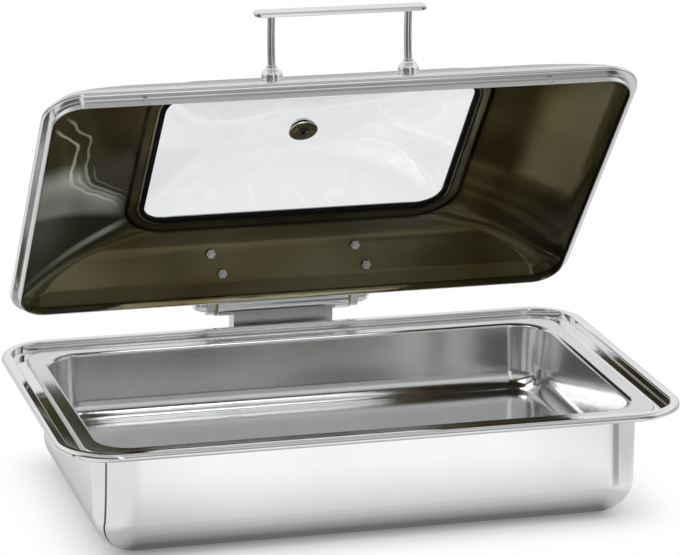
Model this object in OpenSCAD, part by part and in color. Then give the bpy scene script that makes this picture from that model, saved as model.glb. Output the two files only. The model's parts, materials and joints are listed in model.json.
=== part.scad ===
// Chafing dish for one full-size food pan, with a hinged lid that has a domed window.
// Millimetres. Origin under the middle of the base, +X right, +Y towards the hinge, +Z up.
// The lid is drawn open, as it stands in the photograph.

/* [Food pan] */
// Length over the food pan's flange
pan_l = 530; // [480:1:580]
// Width over the food pan's flange
pan_w = 325; // [300:1:360]
// Depth of the food pan below its flange
pan_depth = 63; // [40:1:80]
// Sheet thickness of the food pan
pan_t = 1; // [0.8:0.1:1.4]
// Width of the food pan's flange
pan_flange = 15; // [12:0.5:18]
// Height of the flange's turned-down edge
pan_edge = 3.3; // [2.6:0.1:4]
// Radius between the food pan's wall and floor
pan_foot_r = 20; // [12:1:26]
// How far the food pan's wall leans in towards its floor
pan_lean = 8; // [2:0.5:10]

/* [Base] */
// Height of the rim's crown above the table
rim_h = 112; // [104:1:130]
// Width of the rim's crown
crown_w = 10.5; // [9:0.5:14]
// Outer corner radius of the rim
rim_r = 54; // [50:1:62]
// Depth of the ledge below the crown
ledge_d = 9; // [8.4:0.1:11]
// Height of the rim's turned-down edge
skirt_h = 5.3; // [5:0.1:9]
// Sheet thickness of the water pan
base_t = 1.2; // [0.8:0.1:1.6]
// Corner radius of the basin
body_r = 38; // [36:1:46]
// Radius at the foot of the basin's wall
foot_r = 33; // [20:1:34]
// Length of the induction plate
plate_l = 400; // [300:1:430]
// Width of the induction plate
plate_w = 210; // [150:1:235]
// Corner radius of the induction plate
plate_r = 30; // [10:1:50]
// Thickness of the induction plate
plate_t = 2.5; // [1.5:0.1:5]

/* [Lid] */
// Sheet thickness of the lid
lid_t = 1.2; // [0.8:0.1:1.5]
// Corner radius of the lid's bead
lid_r = 36; // [32:1:44]
// How far the bead stands out from the lip
bead_w = 7.9; // [7:0.1:10]
// Height of the lip below the bead
lip_h = 7; // [6:0.1:7.8]
// Height of the window's flange above the bead
lid_rise = 52; // [45:1:62]
// Bow of the flank near the bead
bow_low = 2.6; // [0:0.1:4]
// Bow of the flank near the window
bow_high = 3.8; // [0:0.1:5]
// Swell of the two end flanks, seen from above
end_swell = 13; // [6:0.5:15]
// How much tighter the flank is drawn at its corners
corner_draw = 22; // [8:1:24]
// Angle at which the lid stands open
lid_open = 49; // [0:1:60]
// Diameter of the bumper buttons
bumper_d = 6; // [4:0.1:6]
// Height of the bumper buttons
bumper_h = 1.2; // [0.8:0.1:2]
// Distance between the bumper buttons
bumper_span = 376; // [200:1:400]

/* [Window] */
// Length of the clear glass
win_l = 296; // [240:1:340]
// Width of the clear glass
win_w = 198; // [170:1:210]
// Corner radius of the clear glass
win_r = 24; // [18:1:36]
// How far the window sits back from the middle
win_back = 5; // [0:0.5:8]
// Width of the band between the glass and the flank
frame_w = 17; // [16:0.5:20]
// Thickness of the glass
glass_t = 3; // [2.5:0.1:5]
// Height of the glass dome
glass_rise = 24.5; // [10:0.5:35]
// Thickness of the rubber channel's lips
seal_t = 1.5; // [1:0.1:2]
// Width of rubber that shows round the glass
seal_w = 4; // [3:0.1:5]
// Sheet thickness of the window trim
trim_t = 1.2; // [0.8:0.1:1.6]
// Diameter of the vent cap
cap_d = 22; // [18:0.5:26]
// Height of the vent cap
cap_h = 7; // [6:0.5:9]
// Diameter of the disc below the glass
disc_d = 28; // [24:0.5:34]
// Thickness of the disc below the glass
disc_t = 2; // [1.5:0.1:3]
// Diameter of the vent screw
vent_screw_d = 5; // [4:0.1:6]

/* [Handle] */
// Length of the grip
bar_l = 160; // [146:1:200]
// Width of the grip
bar_w = 15.5; // [13:0.5:20]
// Thickness of the grip
bar_t = 4.5; // [4:0.1:7]
// Corner radius of the grip's ends
bar_end_r = 5; // [3:0.5:6]
// Radius along the grip's edges
bar_edge_r = 1.3; // [0.8:0.1:1.8]
// Distance between the two posts
post_span = 128; // [100:1:132]
// Diameter of a post
post_d = 7; // [6:0.1:8]
// Diameter of the forged knuckle at a post's bend
knuckle_d = 7.6; // [7.4:0.1:9]
// Length of a post's lower leg
post_low = 30; // [26:0.5:36]
// Length of a post's upper leg, to the middle of the grip
post_high = 28.3; // [22:0.1:34]
// Lean of the lower leg with the lid closed
lean_low = 41; // [36:1:44]
// Lean of the upper leg with the lid closed
lean_high = 53; // [48:1:60]
// Diameter of a ball ferrule
ball_d = 19.5; // [18:0.1:22]
// Height of the ball's centre above the lid
ball_up = 2.1; // [1.5:0.1:5]
// Distance of the ball up the flank
ball_along = 23; // [18:0.1:28]
// Diameter of the stud through the lid
stud_d = 6; // [5:0.1:6]
// Diameter of the washers inside the lid
washer_d = 16; // [13:0.5:18]

/* [Hinge] */
// Distance of the hinge axis behind the rim
hinge_back = 20; // [18:0.5:26]
// Height of the hinge axis above the rim
hinge_up = 18; // [16:0.5:26]
// Length of the hinge tube
tube_l = 132; // [110:1:160]
// Outer diameter of the hinge tube
tube_d = 26; // [24:0.5:28]
// Bore of the hinge tube
tube_bore = 18; // [17:0.5:19]
// Diameter of the hinge shaft
shaft_d = 10; // [9:0.1:11]
// Length of a bush inside the tube
bush_l = 14; // [8:0.5:20]
// Thickness of a bush's flange
bush_flange = 2; // [1.5:0.1:3]
// Diameter of a bush's flange
bush_flange_d = 24; // [20:0.5:24]
// Thickness of a hinge arm
arm_t = 8; // [6:0.5:10]
// Diameter of a hinge arm's hub
hub_d = 22; // [18:0.5:24]
// Length of an arm's foot along the flank
foot_l = 34; // [32:0.5:36]
// Width of an arm's foot
foot_w = 22; // [20:0.5:28]
// Thickness of an arm's foot
foot_t = 3; // [2:0.1:4]
// Distance between the two screws in a foot
foot_pitch = 20; // [19:0.5:22]
// Diameter of the foot screws
foot_screw_d = 5; // [4:0.1:5]
// Length of the damper sleeve
damper_l = 40; // [20:1:60]
// Diameter of the damper's rotor
rotor_d = 13; // [12:0.1:14]
// Length of the hinge bracket
bracket_l = 120; // [100:1:130]
// Sheet thickness of the hinge bracket
bracket_t = 3; // [2.5:0.1:4]
// Height of the bracket's leg on the back wall
bracket_h = 36; // [34:1:40]
// Drop of the bracket below the ledge
bracket_drop = 7; // [5:0.5:10]
// Diameter of the bracket's studs
bracket_stud_d = 5; // [4:0.1:6]
// Distance of the studs from the bracket's ends
stud_edge = 15; // [12:0.5:25]
// Distance between the rows of studs
stud_rows = 14; // [13:0.5:16]

/* [Clearances] */
// Play between the food pan and the lid's lip, lengthwise
pan_play_l = 4.3; // [2:0.1:6]
// Play between the food pan and the lid's lip, across
pan_play_w = 1.8; // [1.7:0.1:4]
// Gap between the food pan and the basin, lengthwise
body_gap_l = 2.3; // [2:0.1:5]
// Gap between the food pan and the basin, across
body_gap_w = 5.8; // [3:0.1:6]
// Gap between the lid's bead and the crown
bead_gap = 1.1; // [0.8:0.1:2]
// Height of the bead's middle above the crown
bead_lift = 1; // [1:0.1:2]
// Clearance under the food pan's edge
pan_seat = 0.1; // [0.05:0.05:0.3]
// Radial clearance of a turning shaft
run_gap = 0.05; // [0.02:0.01:0.08]
// Radial clearance of a fixed fit
fit_gap = 0.02; // [0.01:0.01:0.05]
// Radial clearance of a screw hole
hole_gap = 0.25; // [0.1:0.05:0.4]
// Gap between the turning arms and the bushes
side_gap = 0.2; // [0.1:0.1:0.6]
// Gap between the rubber channel and the flange's edge
seal_gap = 0.15; // [0.12:0.01:0.3]

/* [Hidden] */
$fn = 64;
// Steps in each rounded corner of a drawn shell
corner_steps = 10;

// Insets from the rim's outline
bead_in = crown_w + bead_gap;
lip_in = bead_in + bead_w;
lip_inner_in = lip_in + lid_t;

// Half sizes
pan_x = pan_l / 2;
pan_y = pan_w / 2;
rim_x = pan_x + pan_play_l + lip_inner_in;
rim_y = pan_y + pan_play_w + lip_inner_in;
pan_body_x = pan_x - pan_flange;
pan_body_y = pan_y - pan_flange;
basin_x = pan_body_x + body_gap_l;
basin_y = pan_body_y + body_gap_w;
body_x = basin_x + base_t;
body_y = basin_y + base_t;
win_x = win_l / 2;
win_y = win_w / 2;

// Corner radii that follow their neighbours
basin_r = body_r - base_t;
pan_r = lid_r - bead_w - lid_t - pan_play_w;
crown_inner_r = lid_r + bead_gap;

// Heights
ledge_z = rim_h - ledge_d;
bead_z = rim_h + bead_lift;
bead_half = 2;
bead_top = 2.6;
bead_round = 3;
lip_z = bead_z - bead_half - lip_h;
flange_z = bead_z + lid_rise;
glass_z = flange_z + seal_t;
vent_top_z = glass_z + glass_t + glass_rise;
vent_low_z = glass_z + glass_rise;
pan_top_z = ledge_z + pan_seat + pan_edge;
pan_floor_z = pan_top_z - pan_depth;

// Small radii in the drawn sheet
ledge_r = 3;
step_r = 1.5;
crown_r = 4;

// Window bands, measured out from the clear glass
dome_out = 2;
pane_out = frame_w - 6;
seal_out = frame_w - 5;
seal_lip_out = seal_w + 2;
trim_in = 3;
trim_gap = 0.4;
trim_wall_in = pane_out + trim_gap + 1;
trim_out = trim_wall_in + trim_t;
flange_round = 1;
dome_flat = 18;
vent_washer_t = 1;
vent_bore = vent_screw_d / 2 + hole_gap;

// Flank of the lid: share of the way from the bead to the window at which it creases
flank_low = 0.14;
flank_half = 0.43;
flank_high = 0.72;
// Upright thickness that leaves the sheet's thickness on the slope
lid_drop = lid_t * 4 / 3;

// Hinge axis
hinge_y = rim_y + hinge_back;
hinge_z = rim_h + hinge_up;
arm_x = tube_l / 2 + bush_flange + side_gap;
arm_mid_x = arm_x + arm_t / 2;
nut_x = arm_x + arm_t;

function mix(a, b, t) = a + (b - a) * t;

// One rounded rectangle, seen from above counter-clockwise
function ring(hx, hy, r, z, cy = 0) = [
    for (q = [0:3])
    for (i = [0:corner_steps])
    let (a = q * 90 + i * 90 / corner_steps)
    let (sx = (q == 0 || q == 3) ? 1 : -1)
    let (sy = (q < 2) ? 1 : -1)
    [sx * (hx - r) + r * cos(a), cy + sy * (hy - r) + r * sin(a), z]
];

// Rings that follow the rim, the basin, the pan and the window
function rim_corner(d) = d < crown_w ? mix(rim_r, crown_inner_r, d / crown_w) : crown_inner_r + crown_w - d;
function rim_ring(d, z) = ring(rim_x - d, rim_y - d, rim_corner(d), z);
function basin_ring(o, z) = ring(basin_x + o, basin_y + o, basin_r + o, z);
function pan_ring(o, z) = ring(pan_body_x + o, pan_body_y + o, basin_r + o, z);
function flange_ring(d, z) = ring(pan_x - d, pan_y - d, pan_r - d, z);
function win_ring(o, z) = ring(win_x + o, win_y + o, win_r + o, z, win_back);

// Flank of the lid at share t of the way up
function flank_bow(t) = (t <= 0 || t >= 1) ? 0
    : mix(bow_low, bow_high, (t - flank_low) / (flank_high - flank_low));
function flank_x(t) = mix(rim_x - bead_in - bead_round, win_x + frame_w, t)
    + end_swell * 4 * t * (1 - t);
function flank_y(t) = mix(rim_y - bead_in - bead_round, win_y + frame_w, t);
function flank_mid(t) = mix(0, win_back, t);
function flank_r(t) = mix(lid_r - bead_round, win_r + frame_w, t) - corner_draw * 4 * t * (1 - t);
function flank_z(t) = mix(bead_z + bead_top, flange_z, t) + flank_bow(t);
function flank_ring(t, drop) = ring(flank_x(t), flank_y(t), flank_r(t), flank_z(t) - drop, flank_mid(t));

// Glass dome at share s of the way out from the middle
function dome_x(s) = mix(dome_flat, win_x + dome_out, s);
function dome_y(s) = mix(dome_flat, win_y + dome_out, s);
function dome_r(s) = mix(min(dome_x(s), dome_y(s)), win_r + dome_out, s * s);
function dome_ring(s, top) = ring(dome_x(s), dome_y(s), dome_r(s), top - glass_rise * s * s, win_back);

// Slopes and seats on the front and back of the lid
front_low = [flank_mid(flank_low) - flank_y(flank_low), flank_z(flank_low)];
front_high = [flank_mid(flank_high) - flank_y(flank_high), flank_z(flank_high)];
front_tilt = atan2(front_high[1] - front_low[1], front_high[0] - front_low[0]);
ball_y = front_low[0] + ball_along * cos(front_tilt);
ball_z = front_low[1] + ball_along * sin(front_tilt);
front_skin = lid_drop * cos(front_tilt);
back_low = [flank_mid(flank_low) + flank_y(flank_low), flank_z(flank_low)];
back_high = [flank_mid(flank_high) + flank_y(flank_high), flank_z(flank_high)];
back_tilt = atan2(back_high[1] - back_low[1], back_low[0] - back_high[0]);
back_y = (back_low[0] + back_high[0]) / 2;
back_z = (back_low[1] + back_high[1]) / 2;
back_skin = lid_drop * cos(back_tilt);

// Points of the handle with the lid closed
mid_y = ball_y - ball_up * sin(front_tilt);
mid_z = ball_z + ball_up * cos(front_tilt);
bend_y = mid_y - post_low * sin(lean_low);
bend_z = mid_z + post_low * cos(lean_low);
grip_y = bend_y - post_high * sin(lean_high);
grip_z = bend_z + post_high * cos(lean_high);
post_drop = ball_up * 0.4;
tenon_d = post_d - 2;
tenon_l = bar_t * 0.6;

// A solid through a list of rings. A loop joins its last ring to its first, otherwise both ends are capped.
module loft(rings, loop = false) {
    n = len(rings[0]);
    m = len(rings);
    last = loop ? m - 1 : m - 2;
    sides = [
        for (i = [0:last])
        for (j = [0:n - 1])
        let (a = i * n + j, b = i * n + (j + 1) % n)
        let (c = ((i + 1) % m) * n + (j + 1) % n, d = ((i + 1) % m) * n + j)
        each [[a, b, c], [a, c, d]]
    ];
    start = [for (j = [n - 1:-1:0]) j];
    end = [for (j = [0:n - 1]) (m - 1) * n + j];
    polyhedron(
        points = [for (r = rings) each r],
        faces = loop ? sides : concat(sides, [start, end]),
        convexity = 8
    );
}

// Flat rounded rectangle
module slab2(hx, hy, r) {
    square([2 * hx, 2 * (hy - r)], center = true);
    square([2 * (hx - r), 2 * hy], center = true);
    for (sx = [-1, 1])
        for (sy = [-1, 1])
            translate([sx * (hx - r), sy * (hy - r)])
                circle(r = r);
}

// Upright band round the window
module win_band(inner, outer, z0, z1) {
    translate([0, win_back, z0])
        linear_extrude(z1 - z0)
            difference() {
                slab2(win_x + outer, win_y + outer, win_r + outer);
                slab2(win_x + inner, win_y + inner, win_r + inner);
            }
}

// Cylinder along X from x0 to x1
module rod_x(d, x0, x1) {
    translate([x0, 0, 0])
        rotate([0, 90, 0])
            cylinder(d = d, h = x1 - x0);
}

// Turns what belongs to the lid from closed to open
module on_lid() {
    translate([0, hinge_y, hinge_z])
        rotate([-lid_open, 0, 0])
            translate([0, -hinge_y, -hinge_z])
                children();
}

// Places a child on the hinge axis
module on_axis() {
    translate([0, hinge_y, hinge_z])
        children();
}

// Places a child on the front flank where a ball stands, with Z out of the lid
module at_balls() {
    for (side = [-1, 1])
        translate([side * post_span / 2, ball_y, ball_z])
            rotate([front_tilt, 0, 0])
                children();
}

// Places a child on the back flank, with Z out of the lid
module at_foot(x) {
    translate([x, back_y, back_z])
        rotate([-back_tilt, 0, 0])
            children();
}

// Places a child at each foot screw
module at_foot_screws() {
    for (side = [-1, 1])
        at_foot(side * arm_mid_x)
            for (end = [-1, 1])
                translate([end * foot_w / 4, end * foot_pitch / 2, 0])
                    children();
}

// Places a child at each bracket stud, with Z out of the back wall
module at_studs() {
    for (side = [-1, 1])
        for (row = [0, 1])
            translate([side * (bracket_l / 2 - stud_edge), body_y, stud_z + row * stud_rows])
                rotate([-90, 0, 0])
                    children();
}

bracket_top = ledge_z - base_t - bracket_drop;
bracket_low = bracket_top - bracket_h;
stud_z = bracket_low + (bracket_h - bracket_t - stud_rows) / 2;
nut_h = 4;
washer_t = 1.2;

module water_pan() {
    wall = foot_r - base_t;
    bend = ledge_r - base_t;
    outer_r = step_r + base_t;
    turn = crown_w + step_r;
    inside = [
        for (a = [0:18:90])
            basin_ring(wall * (sin(a) - 1), plate_t + base_t + wall * (1 - cos(a)))
    ];
    ledge = [
        for (a = [0:30:90])
            basin_ring(ledge_r * (1 - cos(a)), ledge_z - ledge_r * (1 - sin(a)))
    ];
    crown = [
        for (a = [90:-45:0])
            rim_ring(turn - step_r * cos(a), ledge_z + step_r * (1 - sin(a))),
        for (a = [0:45:90])
            rim_ring(crown_w - step_r * (1 - cos(a)), rim_h - step_r * (1 - sin(a))),
        for (a = [90:-30:0])
            rim_ring(crown_r * (1 - cos(a)), rim_h - crown_r * (1 - sin(a))),
        rim_ring(0, rim_h - skirt_h)
    ];
    under = [
        rim_ring(base_t, rim_h - skirt_h),
        for (a = [0:30:90])
            rim_ring(crown_r - (crown_r - base_t) * cos(a), rim_h - crown_r + (crown_r - base_t) * sin(a)),
        rim_ring(crown_w - step_r, rim_h - base_t),
        rim_ring(crown_w - base_t, rim_h - base_t - step_r + base_t),
        for (a = [0:45:90])
            rim_ring(turn - outer_r * cos(a), ledge_z + step_r - outer_r * sin(a))
    ];
    outside = [
        for (a = [90:-30:0])
            basin_ring(ledge_r - bend * cos(a), ledge_z - ledge_r + bend * sin(a)),
        for (a = [90:-18:0])
            basin_ring(base_t + foot_r * (sin(a) - 1), plate_t + foot_r * (1 - cos(a)))
    ];
    color("silver")
        loft(concat(inside, ledge, crown, under, outside));
}

module base_plate() {
    color("dimgray")
        linear_extrude(plate_t)
            slab2(plate_l / 2, plate_w / 2, plate_r);
}

module bracket_studs() {
    color("gray")
        at_studs()
            cylinder(d = bracket_stud_d, h = bracket_t + nut_h + 3);
}

module bracket_nuts() {
    color("gray")
        at_studs()
            translate([0, 0, bracket_t])
                difference() {
                    cylinder(d = bracket_stud_d * 1.85, h = nut_h, $fn = 6);
                    translate([0, 0, -1])
                        cylinder(d = bracket_stud_d + 2 * fit_gap, h = nut_h + 2);
                }
}

module hinge_bracket() {
    saddle_l = bracket_l - 20;
    back_edge = hinge_y + tube_d / 2 - 2;
    saddle_w = tube_d - 6;
    color("darkgray")
        difference() {
            union() {
                translate([-bracket_l / 2, body_y, bracket_low])
                    cube([bracket_l, bracket_t, bracket_h]);
                translate([-bracket_l / 2, body_y, bracket_top - bracket_t])
                    cube([bracket_l, back_edge - body_y, bracket_t]);
                translate([-saddle_l / 2, hinge_y - saddle_w / 2, bracket_top - bracket_t])
                    cube([saddle_l, saddle_w, hinge_z - bracket_top + bracket_t - tube_d / 4]);
                for (x = [-bracket_l / 2, bracket_l / 2 - bracket_t])
                    translate([x, body_y, bracket_low])
                        cube([bracket_t, bracket_t * 6, bracket_h]);
            }
            on_axis()
                rod_x(tube_d + 2 * fit_gap, -bracket_l, bracket_l);
            at_studs()
                translate([0, 0, -1])
                    cylinder(d = bracket_stud_d + 2 * hole_gap, h = bracket_t + 2);
        }
}

module hinge_housing() {
    color("silver")
        on_axis()
            difference() {
                rod_x(tube_d, -tube_l / 2, tube_l / 2);
                rod_x(tube_bore, -tube_l, tube_l);
            }
}

// Bush at the right end of the tube
module bush() {
    difference() {
        union() {
            rod_x(tube_bore - 2 * fit_gap, tube_l / 2 - bush_l, tube_l / 2 + bush_flange);
            rod_x(bush_flange_d, tube_l / 2, tube_l / 2 + bush_flange);
        }
        rod_x(shaft_d + 2 * run_gap, 0, tube_l);
    }
}

module hinge_bush_left() {
    color("goldenrod")
        on_axis()
            mirror([1, 0, 0])
                bush();
}

module hinge_bush_right() {
    color("goldenrod")
        on_axis()
            bush();
}

module damper_body() {
    color("black")
        on_axis()
            difference() {
                rod_x(tube_bore - 2 * fit_gap, -damper_l / 2, damper_l / 2);
                rod_x(rotor_d + 2 * run_gap, -damper_l, damper_l);
            }
}

module lid_shell() {
    skin = [
        win_ring(seal_w, flange_z),
        win_ring(frame_w - flange_round, flange_z),
        flank_ring(1, flange_round / 2),
        flank_ring(flank_high, 0),
        flank_ring(flank_half, 0),
        flank_ring(flank_low, 0),
        flank_ring(0, 0)
    ];
    bead = [
        rim_ring(bead_in + 0.9, bead_z + bead_top - 0.9),
        rim_ring(bead_in, bead_z + 0.6),
        rim_ring(bead_in, bead_z - 0.6),
        rim_ring(bead_in + 0.6, bead_z - bead_half + 0.6),
        rim_ring(bead_in + bead_half, bead_z - bead_half)
    ];
    lip = [
        rim_ring(lip_in - 1, bead_z - bead_half),
        rim_ring(lip_in, bead_z - bead_half - 1),
        rim_ring(lip_in, lip_z),
        rim_ring(lip_inner_in, lip_z),
        rim_ring(lip_inner_in, bead_z - bead_half - 1 + lid_t),
        rim_ring(lip_inner_in - 1, bead_z - bead_half + lid_t)
    ];
    inside = [
        rim_ring(bead_in + bead_round, bead_z - bead_half + lid_t),
        rim_ring(bead_in + bead_round - 1, bead_z),
        flank_ring(0, lid_drop),
        flank_ring(flank_low, lid_drop),
        flank_ring(flank_half, lid_drop),
        flank_ring(flank_high, lid_drop),
        win_ring(frame_w - flange_round, flange_z - lid_t),
        win_ring(seal_w, flange_z - lid_t)
    ];
    color("lightgray")
        on_lid()
            difference() {
                loft(concat(skin, bead, lip, inside), loop = true);
                at_balls()
                    translate([0, 0, -10])
                        cylinder(d = stud_d + 2 * hole_gap, h = 20);
                at_foot_screws()
                    translate([0, 0, -10])
                        cylinder(d = foot_screw_d + 2 * hole_gap, h = 20);
            }
}

module glass_seal() {
    color("black")
        on_lid() {
            win_band(0, seal_out, flange_z, flange_z + seal_t);
            win_band(0, seal_w - seal_gap, flange_z - lid_t - seal_t, flange_z + seal_t);
            win_band(0, seal_lip_out, flange_z - lid_t - seal_t, flange_z - lid_t);
        }
}

module glass_pane() {
    shares = [0, 0.2, 0.4, 0.55, 0.7, 0.85, 1];
    last = len(shares) - 1;
    top = [for (s = shares) dome_ring(s, vent_top_z)];
    edge = [
        win_ring(pane_out, glass_z + glass_t),
        win_ring(pane_out, glass_z)
    ];
    low = [for (i = [last:-1:0]) dome_ring(shares[i], vent_low_z)];
    color("lightcyan", 0.35)
        on_lid()
            difference() {
                loft(concat(top, edge, low));
                translate([0, win_back, vent_low_z - 5])
                    cylinder(r = vent_bore, h = glass_t + 10);
            }
}

module window_frame() {
    color("silver")
        on_lid() {
            win_band(trim_wall_in, trim_out, flange_z, glass_z + glass_t + trim_t);
            win_band(trim_in, trim_out, glass_z + glass_t, glass_z + glass_t + trim_t);
        }
}

// Round piece on the middle of the window
module on_vent(z) {
    on_lid()
        translate([0, win_back, z])
            children();
}

module vent_cap() {
    base_h = 1.5;
    dome_h = cap_h - base_h;
    dome_r = (cap_d * cap_d / 4 + dome_h * dome_h) / (2 * dome_h);
    color("silver")
        on_vent(vent_top_z + vent_washer_t)
            difference() {
                union() {
                    cylinder(d = cap_d, h = base_h);
                    intersection() {
                        translate([0, 0, cap_h - dome_r])
                            sphere(r = dome_r);
                        translate([0, 0, base_h])
                            cylinder(d = cap_d, h = dome_h + 1);
                    }
                }
                translate([0, 0, -1])
                    cylinder(d = vent_screw_d + 2 * fit_gap, h = cap_h - 1);
            }
}

module vent_disc() {
    color("silver")
        on_vent(vent_low_z - vent_washer_t - disc_t)
            difference() {
                cylinder(d = disc_d, h = disc_t);
                translate([0, 0, -1])
                    cylinder(d = vent_screw_d + 2 * hole_gap, h = disc_t + 2);
            }
}

module vent_seals() {
    color("black") {
        on_vent(vent_top_z)
            difference() {
                cylinder(d = cap_d - 1, h = vent_washer_t);
                translate([0, 0, -1])
                    cylinder(r = vent_bore, h = vent_washer_t + 2);
            }
        on_vent(vent_low_z - vent_washer_t)
            difference() {
                cylinder(d = disc_d - 2, h = vent_washer_t);
                translate([0, 0, -1])
                    cylinder(r = vent_bore, h = vent_washer_t + 2);
            }
    }
}

module vent_screw() {
    head_h = 1.5;
    stack = disc_t + 2 * vent_washer_t + glass_t;
    color("gray")
        on_vent(vent_low_z - vent_washer_t - disc_t - head_h) {
            difference() {
                cylinder(d = vent_screw_d * 1.8, h = head_h);
                translate([0, 0, -1])
                    cylinder(d = vent_screw_d * 0.6, h = 1.8, $fn = 6);
            }
            translate([0, 0, head_h])
                cylinder(d = vent_screw_d, h = stack + cap_h - 3);
        }
}

// Places a child in the middle of the grip, with Z along the posts' upper legs
module on_grip() {
    translate([0, grip_y, grip_z])
        rotate([lean_high, 0, 0])
            children();
}

module handle_bar() {
    color("whitesmoke")
        on_lid()
            on_grip()
                difference() {
                    intersection() {
                        translate([-bar_l / 2, 0, 0])
                            rotate([90, 0, 90])
                                linear_extrude(bar_l)
                                    slab2(bar_w / 2, bar_t / 2, bar_edge_r);
                        translate([0, 0, -bar_t])
                            linear_extrude(2 * bar_t)
                                slab2(bar_l / 2, bar_w / 2 + 0.2, bar_end_r);
                    }
                    for (side = [-1, 1])
                        translate([side * post_span / 2, 0, -bar_t])
                            cylinder(d = tenon_d + 2 * fit_gap, h = bar_t / 2 + tenon_l);
                }
}

// Post at one side: stud through the lid, two legs with a knuckle between, and a tenon in the grip
module post(x) {
    stud_l = ball_up + front_skin + washer_t + nut_h + 3;
    upper = post_high - bar_t / 2;
    on_lid()
        translate([x, mid_y, mid_z]) {
            rotate([front_tilt, 0, 0])
                translate([0, 0, -stud_l])
                    cylinder(d = stud_d, h = stud_l);
            rotate([lean_low, 0, 0]) {
                translate([0, 0, -post_drop])
                    cylinder(d = post_d, h = post_low + post_drop);
                translate([0, 0, post_low]) {
                    sphere(d = knuckle_d);
                    rotate([lean_high - lean_low, 0, 0]) {
                        cylinder(d = post_d, h = upper);
                        cylinder(d = tenon_d, h = upper + tenon_l - 0.5);
                    }
                }
            }
        }
}

module handle_post_left() {
    color("silver")
        post(-post_span / 2);
}

module handle_post_right() {
    color("silver")
        post(post_span / 2);
}

module handle_ferrules() {
    neck_d = post_d + 2.4;
    neck_h = 2.2;
    color("silver")
        on_lid()
            at_balls()
                difference() {
                    union() {
                        intersection() {
                            translate([0, 0, ball_up])
                                sphere(d = ball_d);
                            cylinder(d = ball_d + 1, h = ball_d + ball_up);
                        }
                        translate([0, 0, ball_up])
                            rotate([lean_low - front_tilt, 0, 0])
                                cylinder(d = neck_d, h = ball_d / 2 + neck_h - 1.5);
                    }
                    translate([0, 0, -1])
                        cylinder(d = stud_d + 2 * fit_gap, h = ball_up + 1);
                    translate([0, 0, ball_up])
                        rotate([lean_low - front_tilt, 0, 0])
                            translate([0, 0, -post_drop - fit_gap])
                                cylinder(d = post_d + 2 * fit_gap, h = ball_d + post_drop);
                }
}

module handle_washers() {
    color("gray")
        on_lid()
            at_balls()
                translate([0, 0, -front_skin - washer_t])
                    difference() {
                        cylinder(d = washer_d, h = washer_t);
                        translate([0, 0, -1])
                            cylinder(d = stud_d + 2 * hole_gap, h = washer_t + 2);
                    }
}

module handle_nuts() {
    color("gray")
        on_lid()
            at_balls()
                translate([0, 0, -front_skin - washer_t - nut_h])
                    difference() {
                        cylinder(d = stud_d * 1.85, h = nut_h, $fn = 6);
                        translate([0, 0, -1])
                            cylinder(d = stud_d + 2 * fit_gap, h = nut_h + 2);
                    }
}

module lid_bumpers() {
    color("gainsboro")
        on_lid()
            for (side = [-1, 1])
                translate([side * bumper_span / 2, lip_in - rim_y, lip_z + bumper_d / 2])
                    rotate([90, 0, 0])
                        cylinder(d = bumper_d, h = bumper_h);
}

// Arm whose foot is screwed to the back flank and whose hub is fixed on the shaft
module arm(x) {
    half = foot_l / 2 - 3;
    c = cos(back_tilt);
    s = sin(back_tilt);
    rise = foot_t - 0.5;
    low = [back_y + half * c + rise * s, back_z - half * s + rise * c];
    high = [back_y - half * c + rise * s, back_z + half * s + rise * c];
    difference() {
        union() {
            at_foot(x)
                translate([-foot_w / 2, -foot_l / 2, 0])
                    cube([foot_w, foot_l, foot_t]);
            translate([x - arm_t / 2, 0, 0])
                rotate([90, 0, 90])
                    linear_extrude(arm_t)
                        polygon([
                            high,
                            low,
                            [hinge_y, hinge_z - hub_d / 2],
                            [hinge_y, hinge_z + hub_d / 2]
                        ]);
            on_axis()
                rod_x(hub_d, x - arm_t / 2, x + arm_t / 2);
        }
        on_axis()
            rod_x(shaft_d + 2 * fit_gap, x - arm_t, x + arm_t);
        at_foot_screws()
            translate([0, 0, -1])
                cylinder(d = foot_screw_d + 2 * hole_gap, h = foot_t + 2);
        at_foot_screws()
            translate([0, 0, foot_t])
                cylinder(d = foot_screw_d * 1.8 + 1, h = 30);
    }
}

module hinge_arm_left() {
    color("silver")
        on_lid()
            arm(-arm_mid_x);
}

module hinge_arm_right() {
    color("silver")
        on_lid()
            arm(arm_mid_x);
}

module arm_screws() {
    shank = foot_t + back_skin + nut_h + 2;
    color("gray")
        on_lid()
            at_foot_screws() {
                translate([0, 0, foot_t])
                    cylinder(d = foot_screw_d * 1.8, h = 3);
                translate([0, 0, foot_t - shank])
                    cylinder(d = foot_screw_d, h = shank + 1);
            }
}

module arm_nuts() {
    color("gray")
        on_lid()
            at_foot_screws()
                translate([0, 0, -back_skin - nut_h])
                    difference() {
                        cylinder(d = foot_screw_d * 1.85, h = nut_h, $fn = 6);
                        translate([0, 0, -1])
                            cylinder(d = foot_screw_d + 2 * fit_gap, h = nut_h + 2);
                    }
}

module hinge_shaft() {
    color("gray")
        on_lid()
            on_axis() {
                rod_x(shaft_d, -nut_x, nut_x);
                rod_x(shaft_d - 2, -nut_x - 7, nut_x + 7);
            }
}

module shaft_nuts() {
    nut_d = shaft_d * 1.8;
    color("silver")
        on_lid()
            on_axis()
                for (side = [0, 1])
                    mirror([side, 0, 0])
                        difference() {
                            union() {
                                translate([nut_x, 0, 0])
                                    rotate([0, 90, 0])
                                        cylinder(d = nut_d, h = 6, $fn = 6);
                                intersection() {
                                    translate([nut_x + 6, 0, 0])
                                        sphere(d = nut_d * 0.84);
                                    rod_x(nut_d, nut_x + 5, nut_x + 30);
                                }
                            }
                            rod_x(shaft_d - 2 + 2 * fit_gap, nut_x - 1, nut_x + 7.5);
                        }
}

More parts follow.
